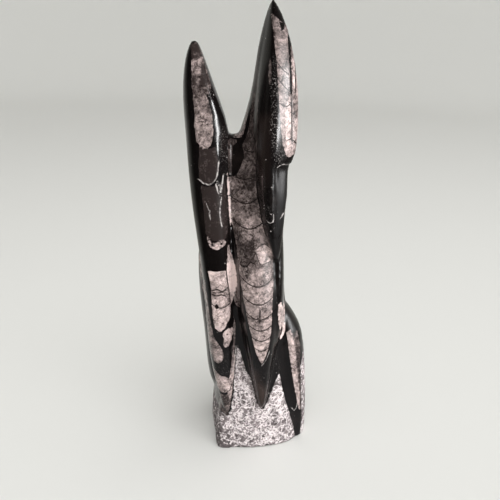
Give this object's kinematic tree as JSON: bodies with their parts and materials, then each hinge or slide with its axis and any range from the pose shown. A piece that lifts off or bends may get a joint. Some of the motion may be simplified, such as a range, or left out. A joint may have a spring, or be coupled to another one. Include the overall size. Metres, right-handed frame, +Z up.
{
  "type": "orthoceras fossil tower",
  "caption": "Upright polished limestone carving of orthoceras fossils, its shafts ending in two horns, standing on a flat pecked foot.",
  "frame": {"origin": "middle of the flat cut under the foot, on the surface that the stone stands on", "axes": "+Z up along the shafts, -Y out of the carved front, +X to the viewer's right, the side of the tall horn and the low shoulder"},
  "size_m": [0.0917, 0.0697, 0.3072],
  "materials": {
    "fossil_limestone": "polished black limestone with pinkish grey fossils, pecked rough on the foot"
  },
  "bodies": {
    "root": {"orthoceras_tower": "fossil_limestone"}
  },
  "joints": []
}
